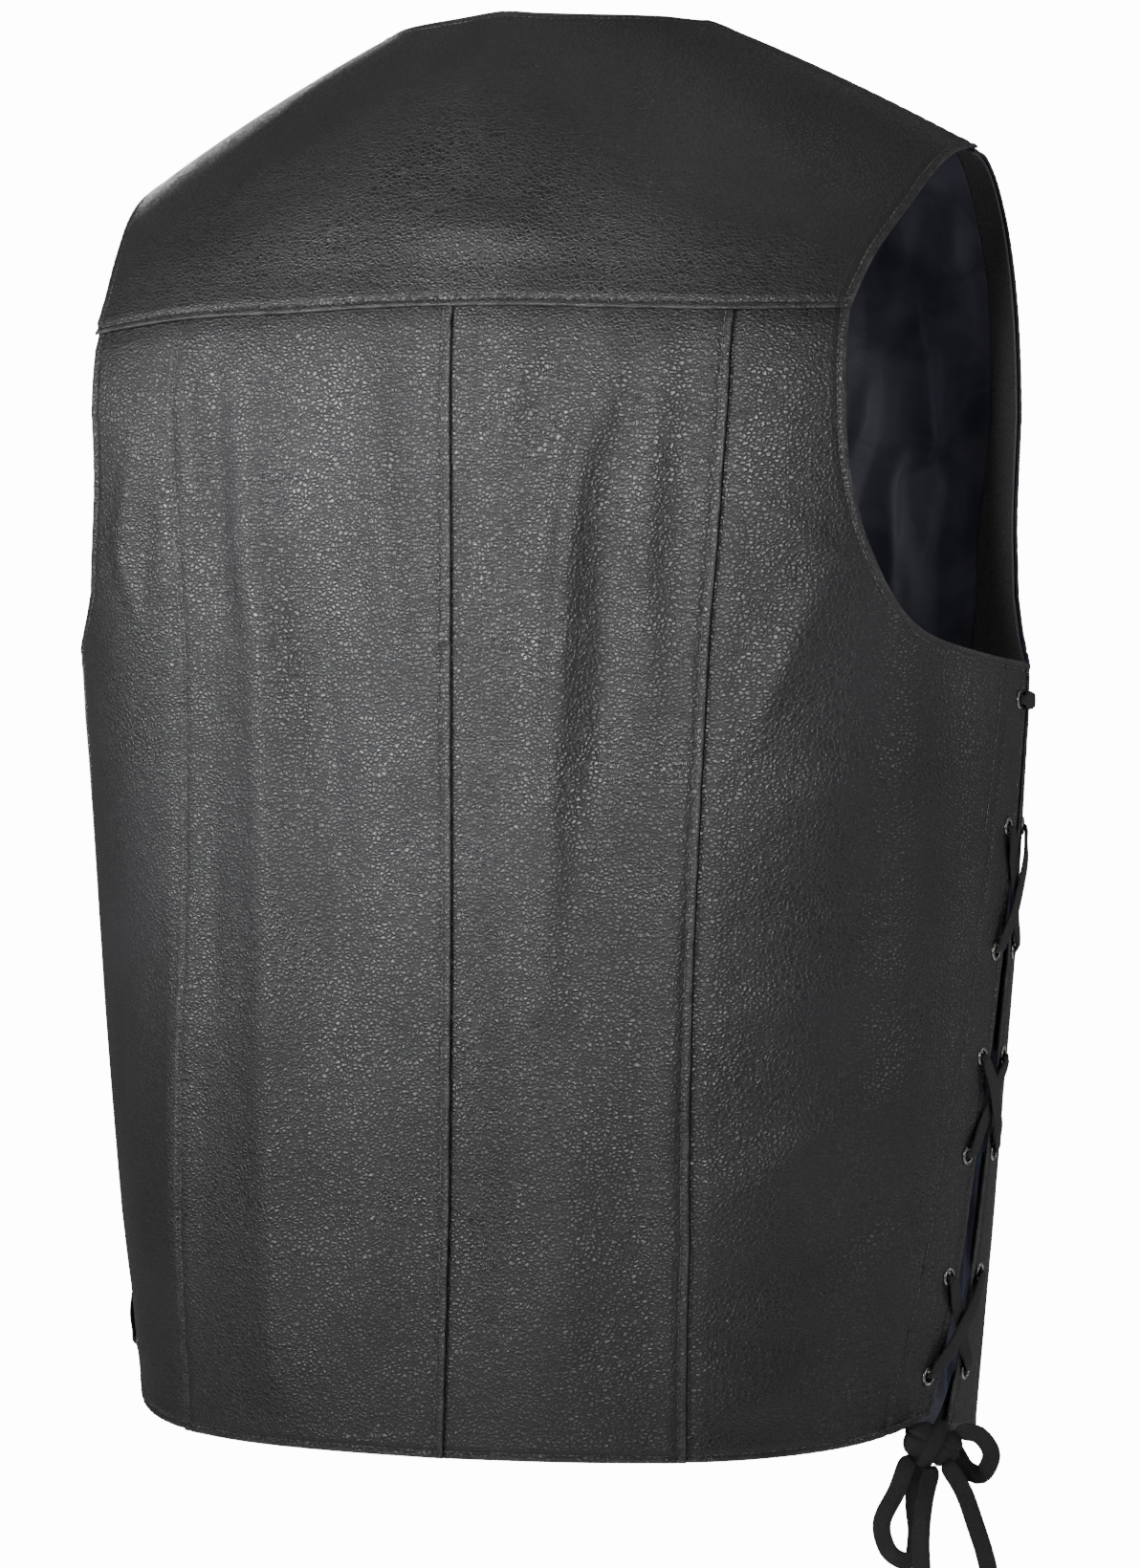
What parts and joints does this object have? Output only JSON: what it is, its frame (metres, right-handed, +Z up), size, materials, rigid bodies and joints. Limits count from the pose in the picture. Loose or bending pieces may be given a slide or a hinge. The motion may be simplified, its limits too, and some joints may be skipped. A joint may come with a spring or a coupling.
{
  "type": "leather vest with laced sides",
  "caption": "Sleeveless black leather vest, hollow as when worn: back yoke, panelled back, V neck, snap front, sides drawn together by flat laces, one tied in a bow.",
  "frame": {"origin": "between the shoulders, midway between front and back, where the wearer carries the vest", "axes": "+Z up the body, -Y toward the front, +X toward the wearer's left"},
  "size_m": [0.4618, 0.2584, 0.7489],
  "materials": {
    "leather": "pebbled, semi-gloss",
    "facing": "matt",
    "lining": "satin",
    "lace": "flat cord, matt",
    "metal": "dark nickel"
  },
  "bodies": {
    "root": {"back_yoke": "leather", "back_centre_left": "leather", "back_side_left": "leather", "front_left": "leather", "armhole_facing_left": "facing", "lining_front_left": "lining", "eyelet_left_back_1": "metal", "eyelet_left_back_2": "metal", "eyelet_left_back_3": "metal", "eyelet_left_back_4": "metal", "eyelet_left_back_5": "metal", "eyelet_left_back_6": "metal", "eyelet_left_back_7": "metal", "eyelet_left_front_1": "metal", "eyelet_left_front_2": "metal", "eyelet_left_front_3": "metal", "eyelet_left_front_4": "metal", "eyelet_left_front_5": "metal", "eyelet_left_front_6": "metal", "eyelet_left_front_7": "metal", "lace_left": "lace", "back_centre_right": "leather", "back_side_right": "leather", "front_right": "leather", "armhole_facing_right": "facing", "lining_front_right": "lining", "eyelet_right_back_1": "metal", "eyelet_right_back_2": "metal", "eyelet_right_back_3": "metal", "eyelet_right_back_4": "metal", "eyelet_right_back_5": "metal", "eyelet_right_back_6": "metal", "eyelet_right_back_7": "metal", "eyelet_right_front_1": "metal", "eyelet_right_front_2": "metal", "eyelet_right_front_3": "metal", "eyelet_right_front_4": "metal", "eyelet_right_front_5": "metal", "eyelet_right_front_6": "metal", "eyelet_right_front_7": "metal", "lace_right": "lace", "knot_right": "lace", "loop_back_right": "lace", "loop_front_right": "lace", "tail_back_right": "lace", "tail_front_right": "lace", "snap_1": "metal", "snap_2": "metal", "snap_3": "metal", "snap_4": "metal"}
  },
  "joints": []
}
